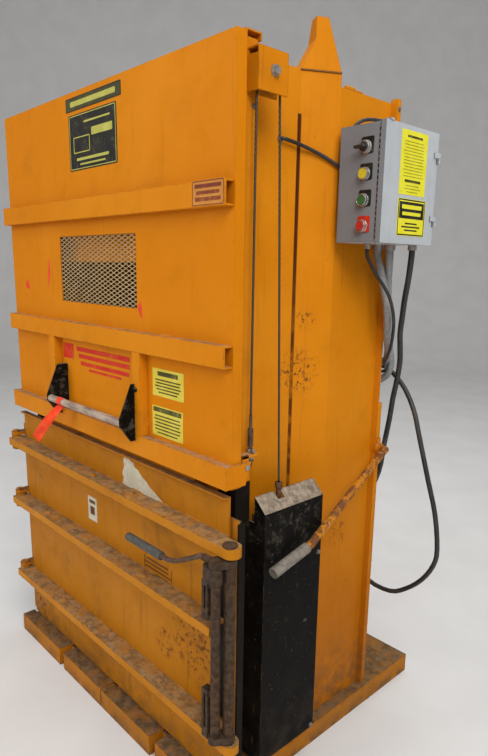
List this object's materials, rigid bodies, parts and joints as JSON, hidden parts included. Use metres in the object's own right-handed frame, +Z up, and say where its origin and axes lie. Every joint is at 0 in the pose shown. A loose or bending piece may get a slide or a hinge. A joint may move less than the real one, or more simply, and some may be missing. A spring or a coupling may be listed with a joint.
{
  "type": "vertical recycling baler",
  "caption": "Upright waste press: counterbalanced lift gate over a hinged bale door, ram-driven platen, control box and side lever.",
  "frame": {"origin": "middle of the base underside, on the ground", "axes": "+X to the machine's control-box side, +Y to its back, +Z up"},
  "size_m": [1.498, 1.0454, 2.201],
  "materials": {
    "paint": "satin, dusty and rust-speckled",
    "inner_paint": "worn",
    "black_paint": "scuffed",
    "box_grey": "satin",
    "machine_grey": "satin",
    "steel": "dull",
    "rusty_steel": "rusty",
    "wire_rope": "dull",
    "conduit": "matte",
    "cable_sheath": "matte",
    "grip": "matte",
    "black_plastic": "matte",
    "ribbon": "matte",
    "yellow": "gloss",
    "green": "gloss",
    "red": "gloss"
  },
  "bodies": {
    "frame": {"base_rails": "paint", "deck_plate": "paint", "sill_bars": "paint", "chamber_walls": "inner_paint", "side_housings": "paint", "corner_horns": "paint", "rear_wall": "paint", "roof_plate": "inner_paint", "header_beam": "paint", "front_panel": "paint", "gate_tracks": "paint", "door_frame": "paint", "pins": "steel", "sheave_boxes": "paint", "weight_guards": "black_paint", "ram_barrels": "steel", "control_box": "box_grey", "control_gear": "black_plastic", "operator_bezels": "steel", "conduit_fittings": "steel", "oil_tank": "inner_paint", "pump_motor": "machine_grey", "valve_and_pipes": "machine_grey", "frame_bolts": "steel", "lever_bearing": "paint", "cable_wraps": "wire_rope", "conduits": "conduit", "motor_cable": "cable_sheath", "loop_cable": "cable_sheath", "switch_cable": "cable_sheath", "top_cable": "cable_sheath", "control_cable": "cable_sheath"},
    "gate": {"gate_sheet": "paint", "gate_channels": "paint", "gate_ribs": "paint", "window_mesh": "paint", "gate_shoes": "steel", "cable_anchors": "black_paint", "handle_brackets": "black_paint", "handle_bar": "steel", "handle_ribbon": "ribbon", "gate_cables": "wire_rope"},
    "weights": {"counterweights": "rusty_steel", "weight_cables": "wire_rope"},
    "sheave_right": {"sheave_right": "rusty_steel"},
    "sheave_left": {"sheave_left": "rusty_steel"},
    "door": {"door_plate": "paint", "door_bars": "paint"},
    "latch": {"latch_crank": "rusty_steel", "latch_lever": "black_paint", "latch_grip": "grip"},
    "press": {"platen": "inner_paint", "ram_rods": "steel"},
    "selector": {"selector_knob": "black_plastic"},
    "yellow": {"yellow_button": "yellow"},
    "green": {"green_button": "green"},
    "red": {"red_button": "red"},
    "box_door": {"box_door": "box_grey"},
    "side_lever": {"side_lever": "paint", "side_grip": "grip"}
  },
  "joints": [
    {"name": "gate_lift", "type": "slide", "parent": "frame", "child": "gate", "axis": [0, 0, 1], "range_m": [0, 0.55], "deforming": ["gate_cables"]},
    {"name": "weights_fall", "type": "slide", "parent": "frame", "child": "weights", "axis": [0, 0, 1], "range_m": [-0.55, 0], "deforming": ["weight_cables"]},
    {"name": "sheave_right_turn", "type": "hinge", "parent": "frame", "child": "sheave_right", "pos_m": [0.62, -0.333, 1.999], "axis": [1, 0, 0], "range_deg": [-830, 0]},
    {"name": "sheave_left_turn", "type": "hinge", "parent": "frame", "child": "sheave_left", "pos_m": [-0.62, -0.333, 1.999], "axis": [1, 0, 0], "range_deg": [-830, 0]},
    {"name": "door_swing", "type": "hinge", "parent": "frame", "child": "door", "pos_m": [-0.656, -0.473, 0.55], "axis": [0, 0, 1], "range_deg": [-120, 0]},
    {"name": "latch_turn", "type": "hinge", "parent": "door", "child": "latch", "pos_m": [0.67, -0.483, 0.55], "axis": [0, 0, 1], "range_deg": [0, 100]},
    {"name": "platen_stroke", "type": "slide", "parent": "frame", "child": "press", "axis": [0, 0, 1], "range_m": [-0.7, 0]},
    {"name": "selector_turn", "type": "hinge", "parent": "frame", "child": "selector", "pos_m": [0.693, -0.036, 1.865], "axis": [0, 1, 0], "range_deg": [-45, 45]},
    {"name": "yellow_push", "type": "slide", "parent": "frame", "child": "yellow", "axis": [0, 1, 0], "range_m": [0, 0.005], "stiffness_N_per_m": 400, "springref_m": -0.003},
    {"name": "green_push", "type": "slide", "parent": "frame", "child": "green", "axis": [0, 1, 0], "range_m": [0, 0.005], "stiffness_N_per_m": 400, "springref_m": -0.003},
    {"name": "red_push", "type": "slide", "parent": "frame", "child": "red", "axis": [0, 1, 0], "range_m": [0, 0.005], "stiffness_N_per_m": 400, "springref_m": -0.003},
    {"name": "box_door_swing", "type": "hinge", "parent": "frame", "child": "box_door", "pos_m": [0.756, 0.223, 1.773], "axis": [0, 0, 1], "range_deg": [0, 110]},
    {"name": "side_lever_turn", "type": "hinge", "parent": "frame", "child": "side_lever", "pos_m": [0.62, 0.232, 0.966], "axis": [1, 0, 0], "range_deg": [-70, 15]}
  ],
  "couplings": [
    {"joint": "weights_fall", "follows": "gate_lift", "ratio": -1},
    {"joint": "sheave_right_turn", "follows": "gate_lift", "rad_per_m": -26.316},
    {"joint": "sheave_left_turn", "follows": "gate_lift", "rad_per_m": -26.316}
  ]
}
